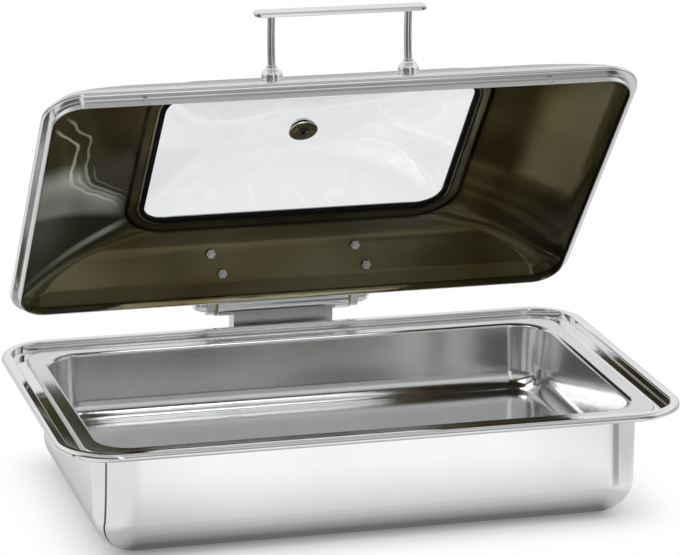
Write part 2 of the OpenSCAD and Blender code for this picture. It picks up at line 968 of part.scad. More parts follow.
module damper_rotor() {
    color("dimgray")
        on_lid()
            on_axis()
                difference() {
                    rod_x(rotor_d, -damper_l / 2 + 2, damper_l / 2 - 2);
                    rod_x(shaft_d + 2 * fit_gap, -damper_l, damper_l);
                }
}

module food_pan() {
    top_r = 4;
    bend = top_r - pan_t;
    edge_r = 1.4;
    wall_top = pan_top_z - top_r;
    seat_z = ledge_z + pan_seat;
    inner_foot = pan_foot_r - pan_t;
    inside = [
        for (a = [0:18:90])
            pan_ring(-pan_lean - pan_t + inner_foot * (sin(a) - 1), pan_floor_z + pan_t + inner_foot * (1 - cos(a))),
        for (a = [0:30:90])
            pan_ring(-pan_t + top_r * (1 - cos(a)), wall_top + top_r * sin(a))
    ];
    rim = [
        flange_ring(edge_r, pan_top_z),
        flange_ring(edge_r * 0.3, pan_top_z - edge_r * 0.3),
        flange_ring(0, pan_top_z - edge_r),
        flange_ring(0, seat_z),
        flange_ring(pan_t, seat_z),
        flange_ring(pan_t, pan_top_z - edge_r),
        flange_ring(edge_r, pan_top_z - pan_t)
    ];
    outside = [
        for (a = [90:-30:0])
            pan_ring(top_r - pan_t - bend * cos(a), wall_top + bend * sin(a)),
        for (a = [90:-18:0])
            pan_ring(-pan_lean + pan_foot_r * (sin(a) - 1), pan_floor_z + pan_foot_r * (1 - cos(a)))
    ];
    color("gainsboro")
        loft(concat(inside, rim, outside));
}

water_pan();
base_plate();
bracket_studs();
hinge_bracket();
bracket_nuts();
hinge_housing();
hinge_bush_left();
hinge_bush_right();
damper_body();
lid_shell();
glass_seal();
glass_pane();
window_frame();
vent_cap();
vent_disc();
vent_seals();
vent_screw();
handle_bar();
handle_post_left();
handle_post_right();
handle_ferrules();
handle_washers();
handle_nuts();
lid_bumpers();
hinge_arm_left();
hinge_arm_right();
arm_screws();
arm_nuts();
hinge_shaft();
shaft_nuts();
damper_rotor();
food_pan();
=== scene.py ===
import json
import math

import bmesh
import bpy
from mathutils import Matrix, Vector


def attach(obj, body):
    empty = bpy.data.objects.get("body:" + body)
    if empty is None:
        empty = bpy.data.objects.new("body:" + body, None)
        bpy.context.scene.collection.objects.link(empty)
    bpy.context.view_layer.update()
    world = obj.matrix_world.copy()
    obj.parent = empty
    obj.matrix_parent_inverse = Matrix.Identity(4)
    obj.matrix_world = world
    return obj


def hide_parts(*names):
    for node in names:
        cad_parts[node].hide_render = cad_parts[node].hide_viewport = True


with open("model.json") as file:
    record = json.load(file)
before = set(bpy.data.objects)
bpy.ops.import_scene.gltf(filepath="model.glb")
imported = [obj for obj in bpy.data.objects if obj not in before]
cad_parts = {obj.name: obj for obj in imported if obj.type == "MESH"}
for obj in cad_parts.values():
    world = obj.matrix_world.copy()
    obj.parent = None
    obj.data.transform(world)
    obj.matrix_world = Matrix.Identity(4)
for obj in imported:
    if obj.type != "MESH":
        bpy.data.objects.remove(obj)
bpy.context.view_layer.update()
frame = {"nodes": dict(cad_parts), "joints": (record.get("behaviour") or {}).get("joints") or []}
cadNodes = frame["nodes"]
scene = bpy.context.scene
mm = 0.001
mergeReach = 1e-6  # points closer than this are one
finestReach = 1e-7

hingeJoint = next(joint for joint in frame["joints"] if joint["name"] == "lid_hinge")
hingePoint = Vector(hingeJoint["pos_m"])
lidTurn = Matrix.Rotation(math.radians(-hingeJoint["range_deg"][1]), 3, "X")  # closed to open


# camera at the photograph's viewing angle
camera = {
    "place": (-0.819686, -3.058507, 1.076561), "yaw": 15.0905, "pitch": 15.3615, "roll": 0.3259,
    "focal": 3549.95, "frameWidth": 680.0,  # both in pixels
    "sensor": 36.0, "clipEnd": 60.0,
}


def addCamera():
    yaw, pitch, roll = (math.radians(camera[k]) for k in ("yaw", "pitch", "roll"))
    level = math.cos(pitch)
    forward = Vector((math.sin(yaw) * level, math.cos(yaw) * level, -math.sin(pitch)))
    right = Vector((math.cos(yaw), -math.sin(yaw), 0.0))
    up = right.cross(forward)
    turn = Matrix((right, up, -forward)).transposed() @ Matrix.Rotation(roll, 3, "Z")
    data = bpy.data.cameras.new("photoCamera")
    data.sensor_fit = "HORIZONTAL"
    data.sensor_width = camera["sensor"]
    data.lens = camera["focal"] * camera["sensor"] / camera["frameWidth"]
    data.clip_end = camera["clipEnd"]
    data.dof.use_dof = False
    cam = bpy.data.objects.new("photoCamera", data)
    cam.matrix_world = Matrix.Translation(camera["place"]) @ turn.to_4x4()
    scene.collection.objects.link(cam)
    scene.camera = cam


addCamera()
print("camera placed")


# shader node helpers
noiseSpan = (0.3, 0.7)  # where most of a noise lies


def plug(tree, socket, value):
    # a socket is wired, anything else is set
    if isinstance(value, bpy.types.NodeSocket):
        tree.links.new(value, socket)
    else:
        socket.default_value = value


def setInputs(tree, node, inputs):
    for key, value in inputs.items():
        plug(tree, node.inputs[key], value)


def addNode(tree, kind, inputs=None, **settings):
    node = tree.nodes.new(kind)
    for key, value in settings.items():
        setattr(node, key, value)
    setInputs(tree, node, inputs or {})
    return node


def newMaterial(name):
    material = bpy.data.materials.new(name)
    material.use_nodes = True
    tree = material.node_tree
    return material, tree, tree.nodes["Principled BSDF"]


def objectCoords(tree, scale=(1, 1, 1), turn=(0, 0, 0), shift=(0, 0, 0)):
    coords = addNode(tree, "ShaderNodeTexCoord").outputs["Object"]
    mapping = addNode(tree, "ShaderNodeMapping",
                      {"Vector": coords, "Scale": scale, "Rotation": turn, "Location": shift})
    return mapping.outputs["Vector"]


def splitAxes(tree, vector):
    axes = addNode(tree, "ShaderNodeSeparateXYZ", {0: vector}).outputs
    return axes["X"], axes["Y"], axes["Z"]


def addNoise(tree, vector, scale, detail=3.0, roughness=0.5, distortion=0.0):
    noise = addNode(tree, "ShaderNodeTexNoise", {"Vector": vector, "Scale": scale, "Detail": detail,
                                                 "Roughness": roughness, "Distortion": distortion})
    return noise.outputs["Fac"]


def addRamp(tree, value, stops):
    ramp = addNode(tree, "ShaderNodeValToRGB", {"Fac": value})
    points = ramp.color_ramp.elements
    while len(points) < len(stops):
        points.new(0.5)
    for point, (place, colour) in zip(points, stops):
        point.position = place
        point.color = (*colour, 1.0)
    return ramp.outputs["Color"]


def greys(stops, scale=1.0):
    return [(place, (level * scale,) * 3) for place, level in stops]


def patchColours(tree, patches, tones):
    return addRamp(tree, patches, list(zip(noiseSpan, tones)))


def addRange(tree, value, low, high, start=noiseSpan[0], end=noiseSpan[1]):
    span = addNode(tree, "ShaderNodeMapRange", {"Value": value, "From Min": start, "From Max": end,
                                                "To Min": low, "To Max": high})
    return span.outputs["Result"]


def addFade(tree, value, start, end, low=0.0, high=1.0):
    # as addRange, with soft ends
    result = addRange(tree, value, low, high, start, end)
    result.node.interpolation_type = "SMOOTHSTEP"
    return result


def addMath(tree, operation, first, second=0.0):
    return addNode(tree, "ShaderNodeMath", {0: first, 1: second}, operation=operation).outputs[0]


def multiplyAll(tree, *factors):
    product = factors[0]
    for factor in factors[1:]:
        product = addMath(tree, "MULTIPLY", product, factor)
    return product


def addVector(tree, operation, first, second=(0.0, 0.0, 0.0)):
    node = addNode(tree, "ShaderNodeVectorMath", {0: first, 1: second}, operation=operation)
    return node.outputs["Value" if operation in ("DOT_PRODUCT", "LENGTH") else "Vector"]


def mixLevels(tree, factor, first, second):
    return addNode(tree, "ShaderNodeMix", {0: factor, 2: first, 3: second}, data_type="FLOAT").outputs[0]


def mixColours(tree, factor, first, second):
    return addNode(tree, "ShaderNodeMix", {0: factor, 6: first, 7: second}, data_type="RGBA").outputs[2]


def offFrom(tree, value, place):
    return addMath(tree, "ABSOLUTE", addMath(tree, "SUBTRACT", value, place))


def addBump(tree, shader, height, strength, distance):
    bump = addNode(tree, "ShaderNodeBump", {"Height": height, "Strength": strength, "Distance": distance})
    plug(tree, shader.inputs["Normal"], bump.outputs["Normal"])


def outsideBox(tree, coords, half, corner, stretch=(1.0, 1.0)):
    # how far a point lies outside a rounded rectangle about the origin, in plan
    inner = (half[0] - corner, half[1] - corner, 0.0)
    past = addVector(tree, "SUBTRACT", addVector(tree, "ABSOLUTE", coords), inner)
    flat = addVector(tree, "MULTIPLY", addVector(tree, "MAXIMUM", past), (*stretch, 0.0))
    return addMath(tree, "SUBTRACT", addVector(tree, "LENGTH", flat), corner)


# finishes: steel sheet
lineDepth = 0.0002  # of polishing lines, turned rings, speckle and pores
steels = {
    "polishedSteel": {"tones": ((0.885, 0.888, 0.89), (0.94, 0.94, 0.942)), "rough": (0.045, 0.10),
                      "lines": (1.0, 14.0, 14.0), "lineStrength": 0.012},
    "lidSteel": {"tones": ((0.84, 0.843, 0.845), (0.90, 0.90, 0.902)), "rough": (0.09, 0.15),
                 "lines": (1.0, 14.0, 14.0), "lineStrength": 0.012},
    "panSteel": {"tones": ((0.74, 0.745, 0.75), (0.83, 0.83, 0.835)), "rough": (0.11, 0.19),
                 "lines": (1.0, 22.0, 22.0), "lineStrength": 0.03},
    "satinSteel": {"tones": ((0.56, 0.56, 0.565), (0.66, 0.66, 0.66)), "rough": (0.24, 0.36),
                   "lines": (1.0, 30.0, 30.0), "lineStrength": 0.10, "haze": 20.0},
    "boltSteel": {"tones": ((0.46, 0.46, 0.45), (0.60, 0.59, 0.58)), "rough": (0.25, 0.42),
                  "lines": (8.0, 8.0, 8.0), "lineStrength": 0.06, "lineScale": 90.0, "haze": 60.0},
}


def makeSteel(name, tones, rough, lines, lineStrength, lineScale=60.0, lineShare=0.45, haze=7.0):
    # a little haze in patches and fine polishing lines
    material, tree, shader = newMaterial(name)
    patches = addNoise(tree, objectCoords(tree), haze, detail=5.0, roughness=0.6)
    fine = addNoise(tree, objectCoords(tree, lines), lineScale, detail=2.0, roughness=0.6)
    setInputs(tree, shader, {
        "Metallic": 1.0,
        "Base Color": patchColours(tree, patches, tones),
        "Roughness": addRange(tree, mixLevels(tree, lineShare, patches, fine), *rough),
    })
    addBump(tree, shader, fine, lineStrength, lineDepth)
    return material


# painted reflections, shade and highlights on the lid's inner face, with the lid's places given from the
# middle of its window
lidInside = {
    # the olive-brown tones are painted reflections, lifted on the rear flank
    "tones": [(0.28, (0.060, 0.041, 0.015)), (0.46, (0.080, 0.066, 0.026)), (0.60, (0.095, 0.083, 0.038)),
              (0.85, (0.135, 0.125, 0.075))],
    "patches": (7.0, 1.5, 0.45, 1.0),  # scale, detail, roughness and distortion
    "edge": (0.62, 0.57, 0.42, 1.0), "sheen": 0.15, "rough": (0.07, 0.13),
    "fine": (80.0, 2.0), "fineLines": (1.0, 10.0, 10.0), "dents": (14.0, 1.0), "dentBump": (0.05, 0.006),
    "rear": (0.07, 0.125), "rearLift": 0.16,
    # painted shade on the end flanks; on the right, painted light near the window fading to painted shade
    "flank": (0.155, 0.185), "leftShade": 0.55, "rightShade": (1.6, 0.52), "rightReach": (0.16, 0.25),
    "crease": (0.44, -0.898), "creaseEdge": (-0.030, -0.016),
    "window": (0.148, 0.099), "corner": 0.024, "middle": 0.005,
    # painted shade and highlight lines in the bends, by their distance from the window, as a share of the
    # reach, and their level up to the top
    "bendReach": 0.040, "bendTop": 2.0,
    "bends": [(0.0, 0.5), (0.10, 1.5), (0.155, 1.7), (0.185, 0.25), (0.235, 0.9), (0.37, 0.75), (0.405, 0.1),
              (0.455, 0.1), (0.51, 1.0)],
    # painted highlights: a pale line beside the rubber and a pale band on the right
    "seam": (0.150, 0.01, 0.04, 0.12), "rightHighlight": (0.29, 0.05, 0.10, 0.12),  # place, two reaches, level
    "rightHighlightFrom": (-0.02, 0.10),
}
# painted reflections on the lid's inner face: pale streaks, ripples and haze
lidReflection = {
    "colour": (0.80, 0.83, 0.73, 1.0), "metal": (0.60, 0.35), "mottle": (0.58, 0.88, 0.35, 0.6),
    "edge": -0.262, "frontStep": (-0.125, -0.05, 0.031), "rearStep": (-0.01, 0.085, 0.060),  # from, to, rise
    "sway": 0.002, "swayScale": 40.0,
    # each ripple's place beside the edge of the painted reflection, its level and where it begins
    "ripples": [(0.0, 0.60, -0.11), (0.0065, 0.30, -0.02), (0.013, 0.42, -0.12), (0.021, 0.30, -0.02)],
    "rippleLine": (0.0003, 0.0022), "rippleStart": 0.02, "rippleRear": (0.045, 0.075),
    "across": (-0.468, 0.883, 0.0), "bandFront": (0.076, 0.112), "bandRear": (0.146, 0.163),
    "bandSide": (-0.004, 0.022),
    "creaseLine": (-0.013, 0.001, 0.008), "creaseFade": (-0.26, -0.18, 0.3, 0.8),
    "haze": (-0.05, 0.02, 0.0, 0.30), "hazeSide": (-0.262, -0.205, 1.0, 0.25),
    "hazeRear": (0.06, 0.14, 1.0, 0.35),
}


def closedLidCoords(tree):
    # a point's place with the lid shut
    back = lidTurn.inverted()
    shift = hingePoint - back @ hingePoint - Vector((0, lidInside["middle"], 0))
    return objectCoords(tree, turn=back.to_euler(), shift=shift)


def reflectionEdge(tree, x, y):
    # how far a point lies beside the edge of the painted reflection, which swings in two steps from the bead
    # to the window
    f = lidReflection
    start, end, rise = f["frontStep"]
    edge = addFade(tree, y, start, end, f["edge"], f["edge"] + rise)
    start, end, rise = f["rearStep"]
    edge = addMath(tree, "ADD", edge, addFade(tree, y, start, end, 0.0, rise))
    return addMath(tree, "SUBTRACT", x, edge)


def paintedLidReflection(tree, closed, patches, x, y, crease):
    # painted reflection: a pale band with ripples beside it, a pale line along the crease, and a thin pale
    # haze behind them
    f = lidReflection
    sway = addRange(tree, addNoise(tree, closed, f["swayScale"], 0.0), -f["sway"], f["sway"])
    beside = addMath(tree, "ADD", reflectionEdge(tree, x, y), sway)
    across = addVector(tree, "DOT_PRODUCT", closed, f["across"])
    band = multiplyAll(tree, addRange(tree, patches, *f["mottle"]), addFade(tree, across, *f["bandFront"]),
                       addFade(tree, across, *f["bandRear"], 1.0, 0.0),
                       addFade(tree, beside, *f["bandSide"], 1.0, 0.0))
    ripple = 0.0
    for place, level, front in f["ripples"]:
        line = addFade(tree, offFrom(tree, beside, place), *f["rippleLine"], level, 0.0)
        line = multiplyAll(tree, line, addFade(tree, y, front, front + f["rippleStart"]))
        ripple = addMath(tree, "MAXIMUM", line, ripple)
    ripple = multiplyAll(tree, ripple, addFade(tree, y, *f["rippleRear"], 1.0, 0.0))
    place, start, end = f["creaseLine"]
    fold = multiplyAll(tree, addFade(tree, offFrom(tree, crease, place), start, end, 1.0, 0.0),
                       addFade(tree, x, *f["creaseFade"]))
    reflection = multiplyAll(tree, addFade(tree, y, *f["haze"]), addFade(tree, x, *f["hazeSide"]),
                       addFade(tree, y, *f["hazeRear"]))
    for part in (addMath(tree, "ADD", band, ripple), fold):
        reflection = addMath(tree, "MAXIMUM", reflection, part)
    return reflection


def windowHighlights(tree, out, x, y):
    # painted highlights on the flange round the window: a pale line beside the rubber, and a pale band on
    # the right
    seam, band = (addFade(tree, offFrom(tree, out, place), start, end, level, 0.0)
                  for place, start, end, level in (lidInside["seam"], lidInside["rightHighlight"]))
    right = addFade(tree, addMath(tree, "SUBTRACT", x, y), *lidInside["rightHighlightFrom"])
    return addMath(tree, "MAXIMUM", seam, multiplyAll(tree, band, right))


def makeLidInside():
    # the drawn inner face, darker and warmer than the polished outside through olive-brown patches of
    # painted reflection, with painted shade and highlight lines in its bends
    s = lidInside
    material, tree, shader = newMaterial("lidInnerSteel")
    closed = closedLidCoords(tree)
    x, y = splitAxes(tree, closed)[:2]
    patches = addNoise(tree, closed, *s["patches"])
    tone = addMath(tree, "ADD", patches, addFade(tree, y, *s["rear"], 0.0, s["rearLift"]))
    colour = addRamp(tree, tone, s["tones"])
    # painted shade on the two end flanks, as far back as the crease in each corner, with painted light near
    # the window on the right
    sideways = addMath(tree, "ABSOLUTE", x)
    crease = addMath(tree, "ADD", addMath(tree, "MULTIPLY", sideways, s["crease"][0]),
                     addMath(tree, "MULTIPLY", y, s["crease"][1]))
    flank = multiplyAll(tree, addFade(tree, sideways, *s["flank"]), addFade(tree, crease, *s["creaseEdge"]))
    left = addRange(tree, x, 1.0, 0.0, -s["flank"][0], 0.0)
    right = addRange(tree, x, *s["rightShade"], *s["rightReach"])
    shade = mixLevels(tree, left, right, s["leftShade"])
    colour = addVector(tree, "MULTIPLY", colour, mixLevels(tree, flank, 1.0, shade))
    # painted reflection and painted highlights, mixed over the colour
    pale = multiplyAll(tree, paintedLidReflection(tree, closed, patches, x, y, crease), flank, left)
    out = addMath(tree, "DIVIDE", outsideBox(tree, closed, s["window"], s["corner"]), s["bendReach"])
    pale = addMath(tree, "MAXIMUM", pale, windowHighlights(tree, out, x, y))
    colour = mixColours(tree, pale, colour, lidReflection["colour"])
    # painted shade and highlight lines along the bends
    bends = addRamp(tree, out, greys(s["bends"], 1.0 / s["bendTop"]))
    bends = addVector(tree, "MULTIPLY", bends, (s["bendTop"],) * 3)
    fine = addNoise(tree, objectCoords(tree, s["fineLines"]), *s["fine"])
    setInputs(tree, shader, {
        "Base Color": addVector(tree, "MULTIPLY", colour, bends),
        "Metallic": addRange(tree, pale, *lidReflection["metal"], 0.0, 1.0),
        "Roughness": addRange(tree, fine, *s["rough"]),
        "Specular Tint": s["edge"],
        "Specular IOR Level": s["sheen"],
    })
    addBump(tree, shader, addNoise(tree, closed, *s["dents"]), *s["dentBump"])
    return material


# finish of the vent's disc and screw
ventTurned = {
    "radius": 0.014, "ringStep": 0.0011, "ringStrength": 0.2, "metal": 0.7, "rough": (0.16, 0.30),
    "tones": [(0.0, (0.012, 0.010, 0.006)), (0.12, (0.022, 0.018, 0.010)), (0.26, (0.105, 0.098, 0.060)),
              (0.72, (0.135, 0.116, 0.050)), (0.78, (0.060, 0.050, 0.022)), (0.85, (0.16, 0.14, 0.065)),
              (0.94, (0.11, 0.10, 0.055)), (1.0, (0.55, 0.55, 0.52))],
}


def makeTurnedSteel():
    # rings round the vent's axis, dark in the middle and bright at the rim
    material, tree, shader = newMaterial("turnedSteel")
    radius = addVector(tree, "LENGTH", addVector(tree, "MULTIPLY", closedLidCoords(tree), (1.0, 1.0, 0.0)))
    cut = addMath(tree, "SINE", addMath(tree, "MULTIPLY", radius, 2 * math.pi / ventTurned["ringStep"]))
    share = addMath(tree, "DIVIDE", radius, ventTurned["radius"])
    setInputs(tree, shader, {
        "Metallic": ventTurned["metal"],
        "Base Color": addRamp(tree, share, ventTurned["tones"]),
        "Roughness": addRange(tree, cut, *ventTurned["rough"], -1.0, 1.0),
    })
    addBump(tree, shader, cut, ventTurned["ringStrength"], lineDepth)
    return material


# finish of the induction plate, with the rings left by the grinder
plateGround = {
    "tones": ((0.33, 0.33, 0.33), (0.46, 0.455, 0.45)), "rough": (0.30, 0.46), "patches": (14.0, 4.0),
    "rings": {"Scale": 90.0, "Distortion": 1.2, "Detail": 2.0}, "ringBump": (0.12, 0.0003),
}


def makePlate():
    p = plateGround
    material, tree, shader = newMaterial("groundPlate")
    vector = objectCoords(tree)
    wave = addNode(tree, "ShaderNodeTexWave", {"Vector": vector, **p["rings"]},
                   wave_type="RINGS", rings_direction="Z").outputs["Fac"]
    setInputs(tree, shader, {
        "Metallic": 1.0,
        "Base Color": patchColours(tree, addNoise(tree, vector, *p["patches"]), p["tones"]),
        "Roughness": addRange(tree, wave, *p["rough"], 0.0, 1.0),
    })
    addBump(tree, shader, wave, *p["ringBump"])
    return material


# finishes: rubber and plastic, with a fine speckle
rubbers = {
    "blackRubber": {"tones": ((0.004, 0.004, 0.004), (0.009, 0.009, 0.009)), "rough": (0.45, 0.60),
                    "grain": 700.0, "gloss": 0.05},
    "clearSilicone": {"tones": ((0.30, 0.30, 0.295), (0.38, 0.38, 0.375)), "rough": (0.25, 0.40),
                      "grain": 500.0},
    "damperPlastic": {"tones": ((0.020, 0.020, 0.021), (0.034, 0.034, 0.035)), "rough": (0.40, 0.58),
                      "grain": 900.0},
}


def makeRubber(name, tones, rough, grain, gloss=0.5, patches=30.0, grainStrength=0.15):
    material, tree, shader = newMaterial(name)
    vector = objectCoords(tree)
    speckle = addNoise(tree, vector, grain, detail=2.0)
    setInputs(tree, shader, {
        "Base Color": patchColours(tree, addNoise(tree, vector, patches, detail=4.0), tones),
        "Roughness": addRange(tree, speckle, *rough),
        "Specular IOR Level": gloss,
    })
    addBump(tree, shader, speckle, grainStrength, lineDepth)
    return material


# finish of the sintered bushes
bushBronze = {
    "tones": ((0.40, 0.25, 0.10), (0.56, 0.38, 0.18)), "rough": (0.32, 0.55), "patches": (90.0, 4.0),
    "pores": (1400.0, 2.0), "poreStrength": 0.2,
}


def makeBronze():
    b = bushBronze
    material, tree, shader = newMaterial("sinteredBronze")
    vector = objectCoords(tree)
    pores = addNoise(tree, vector, *b["pores"])
    setInputs(tree, shader, {
        "Metallic": 1.0,
        "Base Color": patchColours(tree, addNoise(tree, vector, *b["patches"]), b["tones"]),
        "Roughness": addRange(tree, pores, *b["rough"]),
    })
    addBump(tree, shader, pores, b["poreStrength"], lineDepth)
    return material


# finish of the pane; a noise is its scale, detail, roughness and distortion
paneGlass = {
    "tint": ((0.820, 0.832, 0.838), (0.845, 0.855, 0.860)), "tintNoise": (5.0, 2.0), "index": 1.34,
    "paintedStreak": (0.93, 0.935, 0.938, 1.0), "paintedStreakNoise": (5.5, 1.0, 0.4, 1.4), "paintedStreaks": 6.0, "paintedStreakFold": 0.5,
    "paintedStreakLine": (0.40, 0.50), "paintedStreakLevel": 0.30,
    "rough": (0.0, 0.012), "roughNoise": (40.0, 3.0), "wave": (9.0, 1.0), "waveBump": (0.012, 0.004),
}


def makeGlass():
    # slumped pane: clear, with faint painted reflection lines and a slight wave in its faces
    g = paneGlass
    material, tree, shader = newMaterial("domedGlass")
    vector = objectCoords(tree)
    tint = patchColours(tree, addNoise(tree, vector, *g["tintNoise"]), g["tint"])
    # faint lines of painted reflection, lighter than the tint
    paintedStreak = addMath(tree, "MULTIPLY", addNoise(tree, vector, *g["paintedStreakNoise"]), g["paintedStreaks"])
    paintedStreak = addMath(tree, "PINGPONG", paintedStreak, g["paintedStreakFold"])
    paintedStreak = addFade(tree, paintedStreak, *g["paintedStreakLine"], 0.0, g["paintedStreakLevel"])
    setInputs(tree, shader, {
        "Transmission Weight": 1.0,
        "IOR": g["index"],
        "Base Color": mixColours(tree, paintedStreak, tint, g["paintedStreak"]),
        "Roughness": addRange(tree, addNoise(tree, vector, *g["roughNoise"]), *g["rough"]),
    })
    addBump(tree, shader, addNoise(tree, vector, *g["wave"]), *g["waveBump"])
    return material


polishedSteel, lidSteel, panSteel, satinSteel, boltSteel = (
    makeSteel(name, **look) for name, look in steels.items())
lidInnerSteel = makeLidInside()
turnedSteel = makeTurnedSteel()
groundPlate = makePlate()
blackRubber, clearSilicone, damperPlastic = (makeRubber(name, **look) for name, look in rubbers.items())
sinteredBronze = makeBronze()
domedGlass = makeGlass()
print("finishes made")


# shape helpers, in mm
def firstRing(bm, ring, steps):
    # a wire rectangle with its corners bevelled round: half length, half width, corner, height, middle
    halfX, halfY, corner, z, midY = ring
    points = [bm.verts.new((sx * halfX * mm, (midY + sy * halfY) * mm, z * mm))
              for sx, sy in ((1, 1), (-1, 1), (-1, -1), (1, -1))]
    for i in range(4):
        bm.edges.new((points[i - 1], points[i]))
    bmesh.ops.bevel(bm, geom=points, offset=corner * mm, offset_type="OFFSET", affect="VERTICES",
                    segments=steps, profile=0.5, material=-1, clamp_overlap=False)
    return bm.edges[:]


def onlyVerts(geom):
    return [g for g in geom if isinstance(g, bmesh.types.BMVert)]


def onlyEdges(geom):
    return [g for g in geom if isinstance(g, bmesh.types.BMEdge)]


def extrudeLoop(bm, edges):
    # the new loop's vertices and edges
    grown = bmesh.ops.extrude_edge_only(bm, edges=edges)["geom"]
    verts = onlyVerts(grown)
    return verts, [e for e in onlyEdges(grown) if set(verts).issuperset(e.verts)]


def nextRing(bm, edges, old, new):
    # the ring is extruded, then each corner is scaled about its centre and slid to the new place
    verts, edges = extrudeLoop(bm, edges)
    for sx in (1, -1):
        for sy in (1, -1):
            group = [v for v in verts if v.co.x * sx > 0 and (v.co.y - old[4] * mm) * sy > 0]
            was, now = (Vector((sx * (ring[0] - ring[2]), ring[4] + sy * (ring[1] - ring[2]), ring[3])) * mm
                        for ring in (old, new))
            size = new[2] / old[2]
            bmesh.ops.scale(bm, vec=(size, size, 1), space=Matrix.Translation(-was), verts=group)
            bmesh.ops.translate(bm, vec=now - was, verts=group)
    return edges


def bendRings(points, bends):
    # every corner of the profile that has a reach becomes a round bend
    rings = []
    for i, (reach, steps) in enumerate(bends):
        here = Vector(points[i])
        if not reach:
            rings.append(here)
            continue
        legs = []
        for other in (points[i - 1], points[(i + 1) % len(points)]):
            leg = Vector(other) - here
            legs.append(leg * (reach / math.hypot(leg[1], leg[3])))
        turn = (legs[0][1] * legs[1][1] + legs[0][3] * legs[1][3]) / (reach * reach)
        pull = math.sqrt((1.0 - turn) / 2.0)  # keeps the bend circular
        for k in range(steps + 1):
            t = k / steps
            parts = ((1 - t) ** 2, 2 * pull * t * (1 - t), t * t)
            rings.append(here + (legs[0] * parts[0] + legs[1] * parts[2]) / sum(parts))
    return rings


def drawShell(points, bends, steps, cap=False, closed=False):
    # rings drawn one from the other along the bent profile
    bm = bmesh.new()
    rings = bendRings(points, bends)
    first = last = firstRing(bm, rings[0], steps)
    for old, new in zip(rings, rings[1:]):
        last = nextRing(bm, last, old, new)
    if closed:
        seam = nextRing(bm, last, rings[-1], rings[0])
        start = {v for e in first for v in e.verts}
        ends = {v for e in seam for v in e.verts}
        nearest = {v: min(start, key=lambda w: (w.co - v.co).length) for v in ends}
        bmesh.ops.weld_verts(bm, targetmap=nearest)
    if cap:
        bmesh.ops.contextual_create(bm, geom=first)
    return bm


def bevelEdges(bm, edges, offset, segments):
    bmesh.ops.bevel(bm, geom=edges, offset=offset * mm, offset_type="OFFSET", affect="EDGES",
                    segments=segments, profile=0.5, material=-1, clamp_overlap=True, loop_slide=True)


def faceUp(bm):
    # one consistent side, so that the sheet's thickness goes the right way
    bmesh.ops.recalc_face_normals(bm, faces=bm.faces)
    if sum(f.calc_area() * f.normal.z for f in bm.faces) < 0:
        bmesh.ops.reverse_faces(bm, faces=bm.faces)


def newVerts(bm, older):
    return [v for v in bm.verts if v not in older]


def spinPoints(bm, points, steps):
    # a profile of (radius, height), turned once round Z
    older = set(bm.verts)
    verts = [bm.verts.new((r * mm, 0.0, z * mm)) for r, z in points]
    edges = [bm.edges.new(pair) for pair in zip(verts, verts[1:])]
    bmesh.ops.spin(bm, geom=verts + edges, cent=(0, 0, 0), axis=(0, 0, 1), angle=2 * math.pi,
                   steps=steps, use_merge=True, use_duplicate=False)
    bmesh.ops.remove_doubles(bm, verts=newVerts(bm, older), dist=finestReach)
    return newVerts(bm, older)


def tiltVerts(bm, verts, tilt):
    bmesh.ops.rotate(bm, cent=(0, 0, 0), matrix=Matrix.Rotation(math.radians(tilt), 3, "X"), verts=verts)


def moveVerts(bm, verts, place):
    bmesh.ops.translate(bm, vec=Vector(place) * mm, verts=verts)


def openLid(bm):
    bmesh.ops.rotate(bm, cent=hingePoint, matrix=lidTurn, verts=bm.verts)


def finishPiece(name, bm, body, replaced, materials, sharp=38.0, sheet=0.0, inside=0):
    # a sheet keeps the side it was drawn with, a closed form is turned outwards
    bmesh.ops.remove_doubles(bm, verts=bm.verts, dist=mergeReach)
    if not sheet:
        bmesh.ops.recalc_face_normals(bm, faces=bm.faces)
    mesh = bpy.data.meshes.new(name)
    bm.to_mesh(mesh)
    bm.free()
    mesh.shade_smooth()
    mesh.set_sharp_from_angle(angle=math.radians(sharp))
    for material in materials:
        mesh.materials.append(material)
    piece = bpy.data.objects.new(name, mesh)
    scene.collection.objects.link(piece)
    if sheet:
        wall = piece.modifiers.new("sheet", "SOLIDIFY")
        wall.thickness = sheet * mm
        wall.offset = -1.0
        wall.use_even_offset = True
        wall.material_offset = inside
    weight = piece.modifiers.new("flats", "WEIGHTED_NORMAL")
    weight.keep_sharp = True
    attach(piece, body)
    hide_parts(*replaced)


# basin with ledge, crown and turned-down rim; a ring is half length, half width and corner
basin = {
    "flat": (219.0, 120.0, 3.5), "wall": (252.3, 153.3, 36.8), "floor": 3.7,
    "ledge": 103.0, "crown": 112.0, "skirt": 106.7,
    "crownInner": (279.5, 174.5, 37.1), "rim": (290.0, 185.0, 54.0), "sheet": 1.2,
    "bends": [(0, 0), (31.8, 14), (3.0, 5), (1.5, 4), (1.6, 5), (4.0, 8), (0, 0)],  # reach and steps
    "cornerSteps": 18,
}


def makeBasin():
    b = basin
    rings = [
        (*b["flat"], b["floor"], 0), (*b["wall"], b["floor"], 0), (*b["wall"], b["ledge"], 0),
        (*b["crownInner"], b["ledge"], 0), (*b["crownInner"], b["crown"], 0),
        (*b["rim"], b["crown"], 0), (*b["rim"], b["skirt"], 0),
    ]
    bm = drawShell(rings, b["bends"], b["cornerSteps"], cap=True)
    faceUp(bm)
    finishPiece("waterBasin", bm, "base", ["water_pan"], [polishedSteel], sheet=b["sheet"])


makeBasin()
print("basin made")


